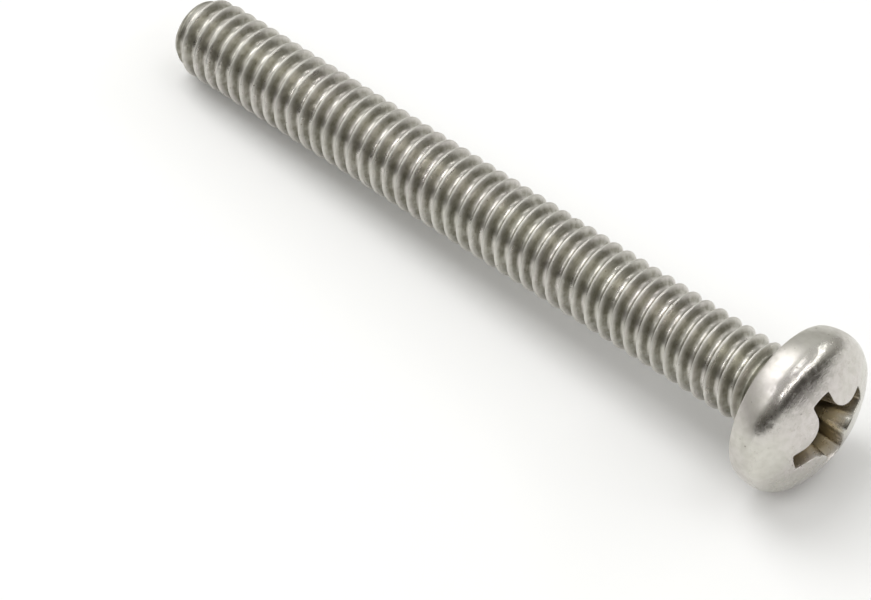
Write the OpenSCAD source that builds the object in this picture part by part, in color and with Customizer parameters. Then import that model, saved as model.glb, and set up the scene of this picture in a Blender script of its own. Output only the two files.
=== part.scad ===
// Pan head machine screw with a cross recess, in millimetres.
// It is built upright: the bearing face under the head is at zero, the thread runs up along +Z
// and the head hangs below. It is then laid over so that it rests on the rim of its head and on
// the crest of its last full thread, with the tip towards +X. The origin stays at the middle of
// the bearing face.

/* [Thread] */
// Diameter over the thread's crests
major_d = 4.06; // [3.8:0.01:4.3]
// Threads in one inch of length
threads_per_inch = 32; // [28:1:36]
// Length from the bearing face to the tip
shank_length = 37.3; // [24:0.1:38.1]
// Angle of one flank from square to the axis
flank_angle = 30; // [27:1:32]
// Width of the flat on a crest, as a share of the pitch
crest_share = 0.15; // [0.1:0.01:0.2]
// Width of the flat in a root, as a share of the pitch
root_share = 0.125; // [0.1:0.005:0.15]
// Diameter of the flat end face
end_d = 3.18; // [3:0.02:3.4]
// Length of the tapered end
end_taper = 0.75; // [0.4:0.05:1.2]
// Turn of the thread about the axis
thread_turn = 75; // [0:1:359]

/* [Neck] */
// Diameter of the plain neck under the head
neck_d = 3.78; // [3.6:0.01:3.8]
// Length of the plain neck
neck_length = 0.7; // [0.5:0.05:1.2]
// Radius of the fillet between the neck and the bearing face
neck_fillet = 0.22; // [0.18:0.01:0.3]
// Length over which the thread rises out of the neck
run_in = 0.9; // [0.5:0.05:1.6]

/* [Head] */
// Widest diameter of the head
head_d = 8; // [7.7:0.05:8.2]
// Height of the head above the bearing face
head_h = 2.9; // [2.65:0.05:2.95]
// Height of the head's widest circle above the bearing face
widest_h = 0.9; // [0.7:0.05:1]
// Radius of the shoulder between the side and the dome
shoulder_r = 1.15; // [0.9:0.05:1.25]
// Radius of the bulged side below the widest circle
side_r = 2.4; // [1.8:0.1:4]
// Radius on the edge of the bearing face
edge_r = 0.12; // [0.05:0.01:0.2]

/* [Recess] */
// Span of the recess from one wing's end to the opposite one
recess_span = 4.6; // [4.2:0.05:4.7]
// Width of a wing
wing_w = 1.05; // [0.9:0.05:1.15]
// Distance from the axis to the rounded nose between two wings
nose_reach = 1.2; // [1.1:0.05:1.3]
// Depth of the wings' ends below the top of the dome
wing_depth = 1.7; // [1.4:0.05:1.8]
// Radius of the flat at the bottom of the recess
floor_r = 0.5; // [0.4:0.05:0.6]
// Slope of the recess's bottom
floor_slope = 28; // [24:1:30]
// Lean of the wings' ends
end_lean = 13.25; // [11:0.25:15]
// Lean of the wings' sides
side_lean = 3.5; // [2:0.5:5]
// Lean of the noses
nose_lean = 15; // [10:1:18]
// Turn of the recess about the axis
recess_turn = -13; // [-45:1:45]

/* [Hidden] */
$fn = 96;
steel = [0.74, 0.73, 0.7];
inch = 25.4;
right_angle = 90;
full_turn = 360;
// Facets around one turn of the thread, and the step along an arc of the head's profile
turn_steps = 24;
arc_step = 5;
nose_step = 22.5;
// Room by which a cutting shape stands past what it cuts
spare = 1;

// Thread form: a crest flat, a flank, a root flat and a flank in each pitch
pitch = inch / threads_per_inch;
crest_w = crest_share * pitch;
root_w = root_share * pitch;
flank_w = (pitch - crest_w - root_w) / 2;
major_r = major_d / 2;
root_r = major_r - flank_w / tan(flank_angle);
level_offset = [-crest_w / 2, crest_w / 2, crest_w / 2 + flank_w, crest_w / 2 + flank_w + root_w];
level_radius = [major_r, major_r, root_r, root_r];
levels = len(level_offset);

// The thread's surface starts hidden inside the head and overshoots the tip before it is trimmed
neck_r = neck_d / 2;
hidden_depth = 0.2;
hidden_gap = 0.12;
hidden_r = neck_r - hidden_gap;
neck_end = neck_length + run_in / 4;
thread_turns = ceil((shank_length + hidden_depth) / pitch) + 1;
level_count = levels * thread_turns;
column_span = level_count + 1;
end_r = end_d / 2;

// Head profile: a dome, a shoulder, a bulged side and a small edge, each tangent to the next
head_r = head_d / 2;
shoulder_x = head_r - shoulder_r;
shoulder_rise = head_h - widest_h;
dome_r = (pow(shoulder_x, 2) + pow(shoulder_rise, 2) - pow(shoulder_r, 2))
    / (2 * (shoulder_rise - shoulder_r));
dome_z = dome_r - head_h;
dome_end = atan2(-widest_h - dome_z, shoulder_x);
side_x = head_r - side_r;
edge_rise = widest_h - edge_r;
edge_x = side_x + sqrt(pow(side_r - edge_r, 2) - pow(edge_rise, 2));
side_end = atan2(edge_rise, edge_x - side_x);

// Recess: the wings' ends meet the dome at this height, and their floor falls to the middle
wing_r = recess_span / 2;
rim_z = dome_z - sqrt(pow(dome_r, 2) - pow(wing_r, 2));
wing_floor_z = wing_depth - head_h;
wing_floor_r = wing_r - (wing_floor_z - rim_z) * tan(end_lean);
floor_z = wing_floor_z + (wing_floor_r - floor_r) * tan(floor_slope);
mouth_z = -head_h - spare;
mouth_r = wing_r + (rim_z - mouth_z) * tan(end_lean);
// A nose is round in plan: an arc that runs into the sides of both wings
nose_r = (nose_reach * sqrt(2) - wing_w) / (2 - sqrt(2));
nose_centre = wing_w / 2 + nose_r;

// Lying at rest, the rim of the head and the last full crest are both on the ground
last_crest = shank_length - end_taper;
rest_tilt = atan((head_r - major_r) / (last_crest + widest_h));

// Points along an arc from one angle to another
function arc(x, z, r, from, to) =
    let (steps = max(2, ceil(abs(to - from) / arc_step)))
    [for (k = [0 : steps]) let (a = from + (to - from) * k / steps) [x + r * cos(a), z + r * sin(a)]];

// Smooth step from 0 to 1
function ease(t) = let (k = min(1, max(0, t))) k * k * (3 - 2 * k);

// Height of one point of the thread's surface, before its column's own rise is added
function level_z(level) =
    level_offset[level % levels] + pitch * floor(level / levels) - hidden_depth;

// One point of the thread: the form is shallow in the neck and full after the run-in
function thread_point(column, level) =
    let (
        z = level_z(level) + pitch * column / turn_steps,
        full = ease((z - neck_length) / run_in),
        r = hidden_r + (level_radius[level % levels] - hidden_r) * full,
        a = full_turn * column / turn_steps + thread_turn
    )
    [r * cos(a), r * sin(a), z];

// Number of a point: one turn further round is one pitch further up the first column
function point_at(column, level) =
    column < turn_steps ? column * column_span + level : level + levels;

module thread() {
    top = level_count - levels;
    points = [
        for (column = [0 : turn_steps - 1], level = [0 : level_count]) thread_point(column, level),
        [0, 0, level_z(0) + pitch / 2],
        [0, 0, level_z(top) + pitch / 2]
    ];
    start_middle = turn_steps * column_span;
    end_middle = start_middle + 1;
    sides = [
        for (column = [0 : turn_steps - 1], level = [0 : top - 1], half = [0, 1])
            half == 0
                ? [point_at(column, level), point_at(column, level + 1), point_at(column + 1, level + 1)]
                : [point_at(column, level), point_at(column + 1, level + 1), point_at(column + 1, level)]
    ];
    start_cap = [
        for (column = [0 : turn_steps - 1])
            [start_middle, point_at(column, 0), point_at(column + 1, 0)],
        for (level = [0 : levels - 1])
            [start_middle, point_at(0, level + 1), point_at(0, level)]
    ];
    end_cap = [
        for (column = [0 : turn_steps - 1])
            [end_middle, point_at(column + 1, top), point_at(column, top)],
        for (level = [0 : levels - 1])
            [end_middle, point_at(0, top + level), point_at(0, top + level + 1)]
    ];
    difference() {
        polyhedron(points, concat(sides, start_cap, end_cap), convexity = 10);
        end_trim();
    }
}

// What is cut away beyond the tip: all past the end face and outside the tapered end
module end_trim() {
    taper_slope = (major_r - end_r) / end_taper;
    outer_r = major_r + spare / 2;
    outer_z = shank_length - (outer_r - end_r) / taper_slope;
    past = shank_length + 2 * pitch + spare;
    rotate_extrude()
        polygon([[0, shank_length], [end_r, shank_length], [outer_r, outer_z], [outer_r, past], [0, past]]);
}

// Head and neck, turned in one profile
module head_and_neck() {
    fillet_r = neck_r + neck_fillet;
    rotate_extrude()
        polygon(concat(
            arc(0, dome_z, dome_r, -right_angle, dome_end),
            arc(shoulder_x, -widest_h, shoulder_r, dome_end, 0),
            arc(side_x, -widest_h, side_r, 0, side_end),
            arc(edge_x, -edge_r, edge_r, side_end, right_angle),
            arc(fillet_r, neck_fillet, neck_fillet, -right_angle, -2 * right_angle),
            [[neck_r, neck_length], [hidden_r, neck_end], [0, neck_end]]
        ));
}

// All that lies behind one leaning face: its reach is from the axis at the height of the rim
module behind_face(turn, reach, lean) {
    size = 2 * head_d;
    rotate(turn)
        translate([reach, 0, rim_z])
            rotate([0, -lean, 0])
                translate([0, -size / 2, -size / 2])
                    cube(size);
}

// Metal left standing between two wings: their sides and the round nose that joins them
module web() {
    intersection_for (a = [0 : nose_step : right_angle])
        behind_face(
            a,
            nose_centre * (cos(a) + sin(a)) - nose_r,
            side_lean + (nose_lean - side_lean) * sin(2 * a)
        );
}

// Cross recess: a cone with a sloping floor, less the four webs
module recess() {
    difference() {
        rotate_extrude()
            polygon([
                [0, mouth_z], [mouth_r, mouth_z], [wing_floor_r, wing_floor_z], [floor_r, floor_z],
                [0, floor_z]
            ]);
        for (quarter = [0 : 3]) rotate(quarter * right_angle) web();
    }
}

module screw() {
    color(steel)
        rotate([0, right_angle + rest_tilt, 0]) {
            difference() {
                head_and_neck();
                rotate(recess_turn) recess();
            }
            thread();
        }
}

screw();
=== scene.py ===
import math
import random

import bmesh
import bpy
from mathutils import Matrix, Vector, kdtree, noise


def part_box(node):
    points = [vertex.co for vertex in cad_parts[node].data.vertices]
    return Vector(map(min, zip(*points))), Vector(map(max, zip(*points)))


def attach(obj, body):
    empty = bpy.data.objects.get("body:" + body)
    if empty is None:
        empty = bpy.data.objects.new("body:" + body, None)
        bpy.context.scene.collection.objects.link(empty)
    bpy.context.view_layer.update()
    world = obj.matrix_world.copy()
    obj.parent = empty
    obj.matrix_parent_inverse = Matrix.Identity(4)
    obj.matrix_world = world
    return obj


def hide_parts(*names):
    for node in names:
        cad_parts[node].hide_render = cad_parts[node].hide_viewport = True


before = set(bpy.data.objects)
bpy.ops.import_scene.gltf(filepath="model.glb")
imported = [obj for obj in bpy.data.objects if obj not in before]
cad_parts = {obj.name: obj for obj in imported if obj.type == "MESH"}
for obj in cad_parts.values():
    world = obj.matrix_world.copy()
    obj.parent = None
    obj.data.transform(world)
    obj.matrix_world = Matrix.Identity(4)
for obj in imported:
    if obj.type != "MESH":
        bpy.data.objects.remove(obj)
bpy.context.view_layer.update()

# The view
# The screw lies on the ground and is seen from above and from the side of its head, with a long
# lens from a hand's length away, so that the far tip is only a little smaller than the head.
# All lengths in the script are in metres, and MM is one millimetre.
MM = 0.001
image_width = 871
focal_pixels = 4176
sensor_width = 36.0
look_down = math.radians(47.65)
camera_turn = math.radians(-136.53)
head_in_view = Vector((15.465, 4.455, 184.964)) * MM

camera_data = bpy.data.cameras.new("camera")
camera_data.sensor_width = sensor_width
camera_data.lens = sensor_width * focal_pixels / image_width
camera_data.clip_start = 0.01
camera = bpy.data.objects.new("camera", camera_data)
bpy.context.scene.collection.objects.link(camera)
camera.rotation_euler = (math.pi / 2 - look_down, 0, camera_turn)
across, down, ahead = head_in_view
camera.location = -(camera.rotation_euler.to_matrix() @ Vector((across, -down, -ahead)))
bpy.context.scene.camera = camera

# Wire blank
# One piece of stainless wire, upset at one end into a pan head. It stands on a building axis from
# the bearing face (0) to the tip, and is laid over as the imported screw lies. The finished skin stays
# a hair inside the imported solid.
low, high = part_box("screw")
widest_r = (high[1] - low[1]) / 2
head_inset = 0.004 * MM
head_r = widest_r - head_inset
head_h = 2.9 * MM
widest_h = 0.9 * MM
shoulder_r = 1.15 * MM
side_r = 2.4 * MM
edge_r = 0.12 * MM
neck_r = 1.89 * MM
neck_fillet = 0.22 * MM
neck_start = 0.3 * MM
shank_length = 37.3 * MM
thread_r = 2.03 * MM
crest_inset = 0.01 * MM
major_r = thread_r - crest_inset
end_taper = 0.75 * MM
rest_tilt = math.atan((widest_r - thread_r) / (shank_length - end_taper + widest_h))
lay_over = Matrix.Rotation(math.pi / 2 + rest_tilt, 4, "Y")

shoulder_x = head_r - shoulder_r
shoulder_rise = head_h - widest_h
dome_r = (shoulder_x ** 2 + shoulder_rise ** 2 - shoulder_r ** 2) / (2 * (shoulder_rise - shoulder_r))
dome_centre = head_h - dome_r
dome_end = math.atan2(widest_h - dome_centre, shoulder_x)


def arc(x, z, r, start, end, steps):
    """Points along an arc, its start left out."""
    angles = [start + (end - start) * k / steps for k in range(1, steps + 1)]
    return [(x + r * math.cos(a), z + r * math.sin(a)) for a in angles]


def dome_height(r):
    return dome_centre + math.sqrt(dome_r ** 2 - r ** 2)


def head_profile():
    """Radius and height from the dome, over the shoulder and the side, to the neck."""
    side_x = head_r - side_r
    edge_rise = widest_h - edge_r
    edge_x = side_x + math.sqrt((side_r - edge_r) ** 2 - edge_rise ** 2)
    side_end = -math.atan2(edge_rise, edge_x - side_x)
    fillet_r = neck_r + neck_fillet
    shoulder_steps, side_steps, edge_steps, face_steps, fillet_steps = 20, 8, 6, 6, 6
    points = arc(shoulder_x, widest_h, shoulder_r, dome_end, 0, shoulder_steps)
    points += arc(side_x, widest_h, side_r, 0, side_end, side_steps)
    points += arc(edge_x, edge_r, edge_r, side_end, -math.pi / 2, edge_steps)
    points += [(edge_x + (fillet_r - edge_x) * k / face_steps, 0) for k in range(1, face_steps + 1)]
    points += arc(fillet_r, -neck_fillet, neck_fillet, math.pi / 2, math.pi, fillet_steps)
    points.append((neck_r, -neck_start))
    return points


# Cross recess
# Punched into the head as it is formed cold: four tapering wings, the metal between them left as
# rounded noses, and a floor that falls to a small flat. The punch leaves every edge slightly soft.
recess_span = 4.6 * MM
wing_w = 1.05 * MM
nose_reach = 1.2 * MM
wing_depth = 1.7 * MM
floor_r = 0.5 * MM
floor_slope = math.radians(28)
end_lean = math.radians(13.25)
side_lean = math.radians(3.5)
nose_lean = math.radians(15)
recess_turn = math.radians(-13)
corner_r = 0.1 * MM
soft_edge = 0.07 * MM
low_plan_height = 0.5 * MM
meeting_rounds = 12

rim_height = dome_height(recess_span / 2)
wing_floor_height = head_h - wing_depth
wing_floor_r = recess_span / 2 - (rim_height - wing_floor_height) * math.tan(end_lean)


def plan_of_recess(height):
    """Outline of the recess at one height, anticlockwise, with the same count of points each time."""
    depth = rim_height - height
    half = wing_w / 2 - depth * math.tan(side_lean)
    reach = recess_span / 2 - depth * math.tan(end_lean)
    nose = nose_reach - depth * math.tan(nose_lean)
    nose_r = (nose - half * math.sqrt(2)) / (math.sqrt(2) - 1)
    nose_x = half + nose_r
    corner_y = half - corner_r
    corner_x = math.sqrt((reach - corner_r) ** 2 - corner_y ** 2)
    corner_turn = math.atan2(corner_y, corner_x)
    end_steps, corner_steps, side_steps, nose_steps = 5, 5, 6, 12
    eighth = [(reach, 0.0)]
    eighth += arc(0, 0, reach, 0, corner_turn, end_steps)
    eighth += arc(corner_x, corner_y, corner_r, corner_turn, math.pi / 2, corner_steps)
    eighth += [(corner_x + (nose_x - corner_x) * k / side_steps, half) for k in range(1, side_steps + 1)]
    eighth += arc(nose_x, nose_x, nose_r, -math.pi / 2, -3 * math.pi / 4, nose_steps)
    wing = eighth + [(y, x) for x, y in reversed(eighth[1:-1])]
    outline = []
    for quarter in range(4):
        turn = recess_turn + quarter * math.pi / 2
        cos, sin = math.cos(turn), math.sin(turn)
        outline += [Vector((x * cos - y * sin, x * sin + y * cos)) for x, y in wing]
    return outline


def floor_height(r):
    return wing_floor_height - (wing_floor_r - max(r, floor_r)) * math.tan(floor_slope)


def recess_rings():
    """Rings of points from the floor's middle up the walls and out over the soft edge to the dome."""
    top_height, low_height = head_h, low_plan_height
    top_plan, low_plan = plan_of_recess(top_height), plan_of_recess(low_height)

    def on_wall(i, height):
        share = (top_height - height) / (top_height - low_height)
        return top_plan[i].lerp(low_plan[i], share)

    def meet(i, surface, height):
        for _ in range(meeting_rounds):
            height = surface(on_wall(i, height).length)
        return height

    count = len(top_plan)
    rims, feet = [], []
    for i in range(count):
        rim = meet(i, dome_height, rim_height)
        foot = meet(i, floor_height, wing_floor_height)
        rims.append(Vector((*on_wall(i, rim), rim)))
        feet.append(Vector((*on_wall(i, foot), foot)))

    def bend(start, corner, end, share):
        return start.lerp(corner, share).lerp(corner.lerp(end, share), share)

    floor_rings, wall_rings, dome_rings = [], [], []
    floor_steps, wall_steps, bend_steps, dome_steps = 8, 10, 5, 16
    inward, upward, outward = [], [], []
    for i in range(count):
        foot, rim = feet[i], rims[i]
        along = (rims[(i + 1) % count] - rims[i - 1]).xy
        normal = Vector((along.y, -along.x)).normalized()
        out_r = (rim.xy + normal * soft_edge).length
        out = Vector((*(rim.xy + normal * soft_edge), dome_height(out_r)))
        step_in = foot.xy * (1 - soft_edge / foot.xy.length)
        inward.append(Vector((*step_in, floor_height(step_in.length))))
        wall = (rim - foot).normalized() * soft_edge
        upward.append((foot + wall, rim - wall))
        outward.append(out)
    for k in range(1, floor_steps + 1):
        share = k / floor_steps
        ring = [p.xy * share for p in inward]
        floor_rings.append([Vector((*p, floor_height(p.length))) for p in ring])
    for k in range(1, bend_steps + 1):
        wall_rings.append([bend(inward[i], feet[i], upward[i][0], k / bend_steps) for i in range(count)])
    for k in range(1, wall_steps + 1):
        wall_rings.append([upward[i][0].lerp(upward[i][1], k / wall_steps) for i in range(count)])
    for k in range(1, bend_steps + 1):
        wall_rings.append([bend(upward[i][1], rims[i], outward[i], k / bend_steps) for i in range(count)])
    edge_of_dome = dome_r * math.cos(dome_end)
    for k in range(1, dome_steps + 1):
        share = k / dome_steps
        ring = []
        for i in range(count):
            even = recess_turn + 2 * math.pi * i / count
            own = math.atan2(outward[i].y, outward[i].x)
            drift = (even - own + math.pi) % (2 * math.pi) - math.pi
            turn = own + drift * share
            r = outward[i].xy.length + (edge_of_dome - outward[i].xy.length) * share
            ring.append(Vector((r * math.cos(turn), r * math.sin(turn), dome_height(r))))
        dome_rings.append(ring)
    return floor_rings + wall_rings + dome_rings


def head_mesh():
    """The head as one open shell, from the recess's floor over the dome to the neck."""
    rings = recess_rings()
    count = len(rings[0])
    turns = [math.atan2(p.y, p.x) for p in rings[-1]]
    rings += [[Vector((r * math.cos(t), r * math.sin(t), h)) for t in turns] for r, h in head_profile()]
    middle = Vector((0, 0, floor_height(0)))
    points = [middle] + [p for ring in rings for p in ring]
    points = [(p.x, p.y, -p.z) for p in points]
    faces = [(0, 1 + (i + 1) % count, 1 + i) for i in range(count)]
    for ring in range(len(rings) - 1):
        first = 1 + ring * count
        for i in range(count):
            j = (i + 1) % count
            faces.append((first + i, first + j, first + count + j, first + count + i))
    mesh = bpy.data.meshes.new("head")
    mesh.from_pydata(points, [], faces)
    return mesh


# Rolled thread
# The shank is rolled between flat dies, which press round roots into the wire, and the metal flows
# up into rounded crests. The thread fades out in the plain neck and on the tapered end. Tumbling
# with other screws then leaves small knocks on the crests and on the head.
pitch = 25.4 / 32 * MM
root_r = 1.532 * MM
end_r = 1.59 * MM
run_in = 0.9 * MM
neck_end = 0.7 * MM
thread_turn = math.radians(75)
thread_lead = 0.2 * MM
tip_edge_r = 0.05 * MM
tip_inner_r = 1.2 * MM
steps_per_turn = 64
rows_per_pitch = 14
# Rows crowd together at the crests and the root; the soft edge and the end face each take their
# share of a pitch
row_crowding = 0.6
edge_pitches = 0.35
face_pitches = 0.5
end_blend = 0.04 * MM
weld = 0.0005 * MM
# Form of half a pitch: how high the metal stands (0 root, 1 crest) at a share of the way from the
# middle of the root (0) to the top of the crest (1)
half_form = [
    (0, 0), (0.14, 0.012), (0.24, 0.06), (0.32, 0.15),
    (0.81, 0.85), (0.86, 0.925), (0.91, 0.98), (1, 1),
]
# Knocks: how many, how wide and how deep at most
knock_seed = 32
knock_r = 0.22 * MM
knock_depth = 0.022 * MM
crest_knocks = (240, 1.6 * knock_r, 0.8 * knock_depth)
head_knocks = (40, 1.3 * knock_r, 0.7 * knock_depth)
crest_reach = 0.97 * major_r
wave = 0.005 * MM
wave_scale = 1.3


class Wiring:
    """Adds nodes to a tree and joins them up as they are made."""

    def __init__(self, tree):
        self.tree = tree

    def node(self, kind, settings=None, **inputs):
        made = self.tree.nodes.new(kind)
        for name, value in (settings or {}).items():
            setattr(made, name, value)
        for name, value in inputs.items():
            self.put(made.inputs[name.replace("_", " ")], value)
        return made

    def put(self, socket, value):
        if isinstance(value, bpy.types.NodeSocket):
            self.tree.links.new(value, socket)
        else:
            socket.default_value = value

    def math(self, operation, *values, clamp=False):
        made = self.tree.nodes.new("ShaderNodeMath")
        made.operation = operation
        made.use_clamp = clamp
        for socket, value in zip(made.inputs, values):
            self.put(socket, value)
        return made.outputs[0]


def thread_tree():
    tree = bpy.data.node_groups.new("Rolled thread", "GeometryNodeTree")
    face = tree.interface
    face.new_socket("Geometry", in_out="OUTPUT", socket_type="NodeSocketGeometry")
    whole_numbers = {"Steps per turn": steps_per_turn, "Rows per pitch": rows_per_pitch, "Turns": 2}
    lengths = {
        "Pitch": pitch, "Crest radius": major_r, "Root radius": root_r, "Neck radius": neck_r,
        "Neck start": neck_start, "Neck end": neck_end, "Run-in": run_in, "Length": shank_length,
        "End radius": end_r, "End taper": end_taper, "Edge radius": tip_edge_r,
        "Inner radius": tip_inner_r, "Turn": thread_turn, "Lead": thread_lead,
    }
    for name, value in whole_numbers.items():
        face.new_socket(name, in_out="INPUT", socket_type="NodeSocketInt").default_value = value
    for name, value in lengths.items():
        face.new_socket(name, in_out="INPUT", socket_type="NodeSocketFloat").default_value = value
    face.new_socket("Material", in_out="INPUT", socket_type="NodeSocketMaterial")
    w = Wiring(tree)
    given = w.node("NodeGroupInput").outputs
    math_ = w.math
    turns, steps, p = given["Turns"], given["Steps per turn"], given["Pitch"]
    grid = w.node("GeometryNodeMeshGrid", Size_X=1.0, Size_Y=1.0)
    w.put(grid.inputs["Vertices X"], math_("ADD", math_("MULTIPLY", turns, steps), 1))
    w.put(grid.inputs["Vertices Y"], math_("ADD", given["Rows per pitch"], 1))
    place = w.node("ShaderNodeSeparateXYZ", Vector=w.node("GeometryNodeInputPosition").outputs[0])
    along = math_("MULTIPLY", math_("ADD", place.outputs["X"], 0.5), turns)
    even = math_("ADD", place.outputs["Y"], 0.5)
    crowd = math_("MULTIPLY", math_("SINE", math_("MULTIPLY", even, 4 * math.pi)),
                  row_crowding / (4 * math.pi))
    across_form = math_("SUBTRACT", even, crowd)
    start = math_("SUBTRACT", math_("MULTIPLY", given["Lead"], -1), p)
    height = math_("ADD", start, math_("MULTIPLY", p, math_("ADD", along, across_form)))

    # Form of one pitch: crests where across_form is 0 or 1, the root at its middle
    slope = math_("ABSOLUTE", math_("SUBTRACT", math_("MULTIPLY", across_form, 2), 1))
    form = w.node("ShaderNodeFloatCurve", Factor=1.0, Value=slope)
    curve = form.mapping.curves[0]
    curve.points[0].location = half_form[0]
    curve.points[1].location = half_form[-1]
    for station in half_form[1:-1]:
        curve.points.new(*station)
    form.mapping.update()
    rise = math_("SUBTRACT", given["Crest radius"], given["Root radius"])
    rolled = math_("ADD", given["Root radius"], math_("MULTIPLY", rise, form.outputs[0]))
    full = w.node("ShaderNodeMapRange", {"interpolation_type": "SMOOTHSTEP"}, Value=height)
    w.put(full.inputs["From Min"], given["Neck end"])
    w.put(full.inputs["From Max"], math_("ADD", given["Neck end"], given["Run-in"]))
    faded = math_("ADD", given["Neck radius"],
                  math_("MULTIPLY", math_("SUBTRACT", rolled, given["Neck radius"]), full.outputs[0]))

    # Tapered end, then the soft edge of the end face, then the end face as far as its inner ring
    last = math_("SUBTRACT", given["Length"], given["Edge radius"])
    narrowing = math_("SUBTRACT", given["Crest radius"], given["End radius"])
    steep = math_("DIVIDE", narrowing, given["End taper"])
    taper = math_("ADD", given["End radius"], math_("MULTIPLY", math_("SUBTRACT", last, height), steep))
    side = math_("SMOOTH_MIN", faded, taper, end_blend)
    edge_span = math_("MULTIPLY", p, edge_pitches)
    edge_share = math_("DIVIDE", math_("SUBTRACT", height, last), edge_span, clamp=True)
    edge_turn = math_("MULTIPLY", edge_share, math.pi / 2)
    face_r = math_("SUBTRACT", given["End radius"], given["Edge radius"])
    edge_out = math_("MULTIPLY", given["Edge radius"], math_("COSINE", edge_turn))
    edge_up = math_("MULTIPLY", given["Edge radius"], math_("SINE", edge_turn))
    edge_radius = math_("ADD", face_r, edge_out)
    edge_height = math_("ADD", last, edge_up)
    face_start = math_("ADD", last, edge_span)
    face_span = math_("MULTIPLY", p, face_pitches)
    face_share = math_("DIVIDE", math_("SUBTRACT", height, face_start), face_span, clamp=True)
    drawn_in = math_("MULTIPLY", math_("SUBTRACT", face_r, given["Inner radius"]), face_share)
    beyond = math_("GREATER_THAN", height, last)
    end_radius = math_("SUBTRACT", edge_radius, drawn_in)
    radius = math_("ADD", side, math_("MULTIPLY", math_("SUBTRACT", end_radius, side), beyond))
    level = math_("MAXIMUM", math_("MINIMUM", height, edge_height), given["Neck start"])
    angle = math_("ADD", math_("MULTIPLY", along, 2 * math.pi), given["Turn"])
    spot = w.node("ShaderNodeCombineXYZ", X=math_("MULTIPLY", radius, math_("COSINE", angle)),
                  Y=math_("MULTIPLY", radius, math_("SINE", angle)), Z=level)
    wound = w.node("GeometryNodeSetPosition", Geometry=grid.outputs["Mesh"], Position=spot.outputs[0])
    closed = w.node("GeometryNodeMergeByDistance", Geometry=wound.outputs[0], Distance=weld)
    real = w.node("GeometryNodeRealizeInstances", Geometry=closed.outputs[0])
    painted = w.node("GeometryNodeSetMaterial", Geometry=real.outputs[0], Material=given["Material"])
    w.node("NodeGroupOutput", Geometry=painted.outputs[0])
    return tree


def thread_mesh(material):
    tree = thread_tree()
    blank = bpy.data.objects.new("thread", bpy.data.meshes.new("thread"))
    bpy.context.scene.collection.objects.link(blank)
    modifier = blank.modifiers.new("Rolled thread", "NODES")
    modifier.node_group = tree
    sockets = {item.name: item.identifier for item in tree.interface.items_tree if item.in_out == "INPUT"}
    turns_needed = (shank_length + thread_lead) / pitch + 1 + edge_pitches + face_pitches
    modifier[sockets["Turns"]] = math.ceil(turns_needed)
    modifier[sockets["Material"]] = material
    evaluated = blank.evaluated_get(bpy.context.evaluated_depsgraph_get())
    mesh = bpy.data.meshes.new_from_object(evaluated)
    bpy.data.objects.remove(blank)
    return mesh


def dent(shell, rng, hits, reach, deepest, wanted):
    """Knocks from the tumbling barrel: wide, shallow, round hollows pressed along the surface normal."""
    verts = shell.verts[:]
    tree = kdtree.KDTree(len(verts))
    for i, vert in enumerate(verts):
        tree.insert(vert.co, i)
    tree.balance()
    chosen = [vert for vert in verts if wanted(vert.co)]
    for _ in range(hits):
        at = rng.choice(chosen)
        r = reach * rng.uniform(0.5, 1.0)
        push = at.normal * deepest * rng.uniform(0.3, 1.0)
        for _, i, away in tree.find_range(at.co, r):
            verts[i].co -= push * (1 - (away / r) ** 2) ** 2


def screw_object(material):
    """Head and shank joined at the neck, the end face closed, and the whole laid over."""
    shell = bmesh.new()
    shell.from_mesh(head_mesh())
    shell.from_mesh(thread_mesh(material))
    rings = [edge for edge in shell.edges if edge.is_boundary]
    middle = (neck_start + shank_length) / 2
    tip_ring = [edge for edge in rings if edge.verts[0].co.z > middle]
    neck_rings = [edge for edge in rings if edge.verts[0].co.z < middle]
    bmesh.ops.bridge_loops(shell, edges=neck_rings)
    tip = shell.verts.new((0, 0, shank_length))
    for edge in tip_ring:
        shell.faces.new((edge.verts[0], edge.verts[1], tip))
    bmesh.ops.recalc_face_normals(shell, faces=shell.faces[:])
    shell.normal_update()
    rng = random.Random(knock_seed)
    dent(shell, rng, *crest_knocks, lambda co: co.z > 0 and co.xy.length > crest_reach)
    dent(shell, rng, *head_knocks, lambda co: co.z < 0 and co.xy.length > shoulder_x)
    upright = shell.verts.layers.float_vector.new("upright")
    hollow = shell.verts.layers.float.new("hollow")
    for vert in shell.verts:
        spot = vert.co / MM
        vert[upright] = spot
        r = vert.co.xy.length
        if vert.co.z > neck_end:
            vert[hollow] = min(1, max(0, (major_r - r) / (major_r - root_r)))
        elif vert.co.z < -edge_r and r < recess_span / 2:
            vert[hollow] = min(1, max(0, (dome_height(r) + vert.co.z) / wing_depth))
        vert.co -= vert.normal * wave * (1 + noise.noise(spot * wave_scale))
    for face in shell.faces:
        face.smooth = True
    bmesh.ops.transform(shell, matrix=lay_over, verts=shell.verts[:])
    mesh = bpy.data.meshes.new("screw_steel")
    shell.to_mesh(mesh)
    shell.free()
    mesh.materials.clear()
    mesh.materials.append(material)
    made = bpy.data.objects.new("screw_steel", mesh)
    bpy.context.scene.collection.objects.link(made)
    return made


# Stainless steel
# Warm grey austenitic steel straight from the dies and the tumbling barrel: a satin dome, a frosted
# side of the head, fine lines round the shank, roots burnished bright, rubbed crests and small pits.
# An olive film lies on the thread's flanks and a brown one in the recess, thicker deeper down; their
# darkness is partly residue and partly painted shade.
greenish_steel = (0.635, 0.62, 0.57, 1)
rosy_steel = (0.645, 0.61, 0.59, 1)
worn_steel = (0.49, 0.475, 0.42, 1)
rubbed_steel = (0.66, 0.645, 0.6, 1)
# Film colours for the thread and the recess; their darkness is partly residue and partly painted shade
pale_film_and_shade = (0.35, 0.34, 0.29, 1)
dark_film_and_shade = (0.21, 0.2, 0.155, 1)
shallow_film = (0.7, 0.61, 0.435, 1)
deep_film_and_shade = (0.15, 0.118, 0.055, 1)
pit_brown = (0.2, 0.17, 0.14, 1)
smoothest = 0.11
relief_share = 0.75
relief_depth = 0.012 * MM


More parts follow.
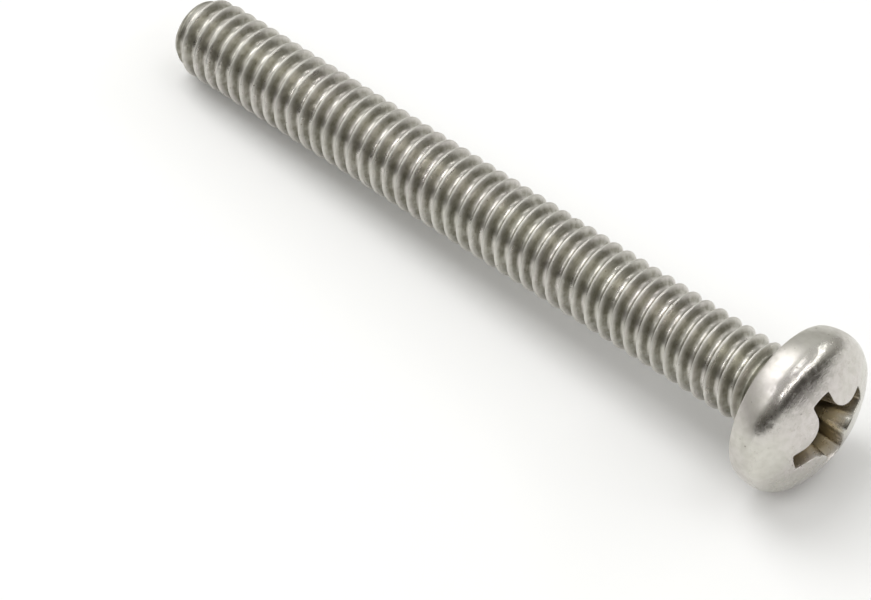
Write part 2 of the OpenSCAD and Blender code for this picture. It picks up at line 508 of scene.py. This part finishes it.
def stainless_steel():
    material = bpy.data.materials.new("stainless_steel")
    material.use_nodes = True
    w = Wiring(material.node_tree)
    shader = material.node_tree.nodes["Principled BSDF"]
    spot = w.node("ShaderNodeAttribute", {"attribute_name": "upright"}).outputs["Vector"]
    hollow = w.node("ShaderNodeAttribute", {"attribute_name": "hollow"}).outputs["Fac"]

    def cloud(scale, detail, stretch=(1, 1, 1)):
        place = w.node("ShaderNodeVectorMath", {"operation": "MULTIPLY"})
        w.put(place.inputs[0], spot)
        w.put(place.inputs[1], stretch)
        made = w.node("ShaderNodeTexNoise", Vector=place.outputs[0], Scale=scale, Detail=detail)
        return made.outputs["Fac"]

    def span(value, low_in, high_in, low_out=0.0, high_out=1.0):
        made = w.node("ShaderNodeMapRange", Value=value, From_Min=low_in, From_Max=high_in)
        w.put(made.inputs["To Min"], low_out)
        w.put(made.inputs["To Max"], high_out)
        return made.outputs[0]

    def blend(share, first, second):
        made = w.node("ShaderNodeMix", {"data_type": "RGBA"})
        w.put(made.inputs[0], share)
        w.put(made.inputs[6], first)
        w.put(made.inputs[7], second)
        return made.outputs[2]

    # Along the axis in mm: below 0 is the head, above 0 is the shank
    along = w.node("ShaderNodeSeparateXYZ", Vector=spot).outputs["Z"]
    on_shank = span(along, -0.2, 0.2)
    patches = cloud(0.42, 3)
    tints = cloud(0.27, 2, (1.4, 0.9, 1))
    mottle = cloud(3.2, 5)
    lines = cloud(1.5, 4, (0.7, 0.7, 16))
    speck = cloud(11, 2)
    pits = w.node("ShaderNodeTexVoronoi", Vector=spot, Scale=2.6, Randomness=1.0).outputs["Distance"]
    pit = w.math("MULTIPLY", span(pits, 0.13, 0.04), span(mottle, 0.45, 0.6))

    clean = blend(span(tints, 0.38, 0.62), greenish_steel, rosy_steel)
    worn = blend(span(mottle, 0.35, 0.7, 0, 0.45), clean, worn_steel)
    # Film mask, stronger deeper in the grooves and the recess: partly residue, partly painted shade
    film_and_shade = w.math("MULTIPLY", span(hollow, 0.1, 0.5), span(patches, 0.3, 0.7, 0.7, 1.0))
    burnished = w.math("MULTIPLY", span(hollow, 0.75, 0.95, 0, 0.85), on_shank)
    film_and_shade = w.math("MULTIPLY", film_and_shade, w.math("SUBTRACT", 1.0, burnished))
    # In the recess the colour goes from pale tan to dark brown with depth: painted shade
    recess_film_and_shade = blend(span(hollow, 0.4, 0.85), shallow_film, deep_film_and_shade)
    # On the thread the dark film on the flanks is partly residue and partly painted shade
    thread_film_and_shade = blend(span(mottle, 0.35, 0.65), pale_film_and_shade, dark_film_and_shade)
    filmed_and_shaded = blend(film_and_shade, worn, blend(on_shank, recess_film_and_shade, thread_film_and_shade))
    crest = w.math("MULTIPLY", span(hollow, 0.04, 0.2, 1, 0), span(along, 0.2, 0.8))
    rubbed = blend(crest, filmed_and_shaded, rubbed_steel)
    w.put(shader.inputs["Base Color"], blend(pit, rubbed, pit_brown))
    shader.inputs["Metallic"].default_value = 1.0

    # Frosted side of the head, smoother shank, satin crests, duller where the film and painted shade lie
    rough = w.math("ADD", span(patches, 0.35, 0.65, 0.19, 0.3), span(mottle, 0.35, 0.65, -0.03, 0.05))
    rough = w.math("ADD", rough, span(along, -1.35, -1.0, 0, 0.17))
    rough = w.math("ADD", rough, span(along, 0, 0.5, 0, -0.12))
    rough = w.math("MAXIMUM", rough, smoothest)
    rough = w.math("ADD", rough, w.math("MULTIPLY", crest, span(mottle, 0.3, 0.7, 0.12, 0.26)))
    w.put(shader.inputs["Roughness"], w.math("ADD", rough, w.math("MULTIPLY", film_and_shade, 0.08)))

    # Lines round the shank, mottling and specks, three times as deep on the shank, then the pits
    relief = w.math("ADD", w.math("MULTIPLY", lines, 0.5), w.math("MULTIPLY", mottle, 0.7))
    relief = w.math("ADD", relief, w.math("MULTIPLY", speck, 0.25))
    relief = w.math("MULTIPLY", relief, span(along, 0, 0.5, 1, 3))
    relief = w.math("SUBTRACT", relief, w.math("MULTIPLY", pit, 0.8))
    bump = w.node("ShaderNodeBump", Strength=relief_share, Distance=relief_depth, Height=relief)
    w.put(shader.inputs["Normal"], bump.outputs[0])
    return material


screw = screw_object(stainless_steel())
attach(screw, "root")
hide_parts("screw")

# Ground and light
# White paper under five soft lamps: a broad one above the tip, a small one above the head, two long
# strips beyond the head and one in front. The room is pale above and dark near the horizon.
floor_half = 1.0
paper_white = (0.95, 0.95, 0.95, 1)
paper_roughness = 0.9
floor_mesh = bpy.data.meshes.new("floor")
corners = [(x * floor_half, y * floor_half, low[2]) for x, y in ((-1, -1), (1, -1), (1, 1), (-1, 1))]
floor_mesh.from_pydata(corners, [], [(0, 1, 2, 3)])
floor = bpy.data.objects.new("floor", floor_mesh)
bpy.context.scene.collection.objects.link(floor)
paper = bpy.data.materials.new("white_paper")
paper.use_nodes = True
paper.node_tree.nodes["Principled BSDF"].inputs["Base Color"].default_value = paper_white
paper.node_tree.nodes["Principled BSDF"].inputs["Roughness"].default_value = paper_roughness
floor_mesh.materials.append(paper)

world = bpy.data.worlds.new("room")
bpy.context.scene.world = world
world.use_nodes = True
room = Wiring(world.node_tree)
way = room.node("ShaderNodeTexCoord").outputs["Generated"]
rise = room.node("ShaderNodeSeparateXYZ", Vector=way).outputs["Z"]


def facing(side):
    """How much a direction points to one side of the room, from 0 to 1."""
    made = room.node("ShaderNodeVectorMath", {"operation": "DOT_PRODUCT"})
    room.put(made.inputs[0], way)
    room.put(made.inputs[1], side)
    return room.math("MAXIMUM", made.outputs["Value"], 0)


# The dark near the horizon stands higher in front, and lower at the back and on the left
front = room.math("MULTIPLY", facing((-0.77, 0.64, 0)), 0.3)
back = room.math("MULTIPLY", facing((0.35, -0.94, 0)), 0.46)
left = room.math("MULTIPLY", facing((0.64, 0.77, 0)), 0.36)
level = room.math("ADD", room.math("SUBTRACT", rise, front), room.math("ADD", back, left))
shades = room.node("ShaderNodeValToRGB", Fac=level)
room_shades = [
    (0.0, (0.045, 0.04, 0.032)), (0.25, (0.07, 0.065, 0.053)), (0.42, (0.25, 0.24, 0.215)),
    (0.62, (0.46, 0.455, 0.43)), (0.85, (0.6, 0.6, 0.58)), (1.0, (0.65, 0.65, 0.63)),
]
for k, (at, shade) in enumerate(room_shades):
    stop = shades.color_ramp.elements[k] if k < 2 else shades.color_ramp.elements.new(at)
    stop.position = at
    stop.color = (*shade, 1)
room.put(world.node_tree.nodes["Background"].inputs["Color"], shades.outputs["Color"])
world.node_tree.nodes["Background"].inputs["Strength"].default_value = 1.0


def softbox(name, toward, away, width, depth, glow):
    """A soft lamp that faces the screw; glow is how bright its face looks beside white paper."""
    data = bpy.data.lights.new(name, "AREA")
    data.shape = "RECTANGLE"
    data.size = width
    data.size_y = depth
    data.energy = glow * math.pi * width * depth
    made = bpy.data.objects.new(name, data)
    made.location = Vector(toward).normalized() * away
    made.rotation_euler = Vector(toward).to_track_quat("Z", "Y").to_euler()
    bpy.context.scene.collection.objects.link(made)


softbox("lamp_above", (0.54, -0.01, 0.84), 0.52, 0.3, 0.42, 2.9)
softbox("lamp_patch", (-0.27, -0.2, 0.94), 0.55, 0.24, 0.13, 1.7)
softbox("lamp_strip", (-0.68, 0, 0.67), 0.6, 0.6, 0.045, 6.5)
softbox("lamp_strip_back", (-0.45, -0.66, 0.56), 0.6, 0.5, 0.04, 5)
softbox("lamp_front", (0.18, 0.65, 0.74), 0.6, 0.2, 0.16, 3.2)
bpy.context.scene.view_settings.view_transform = "Standard"
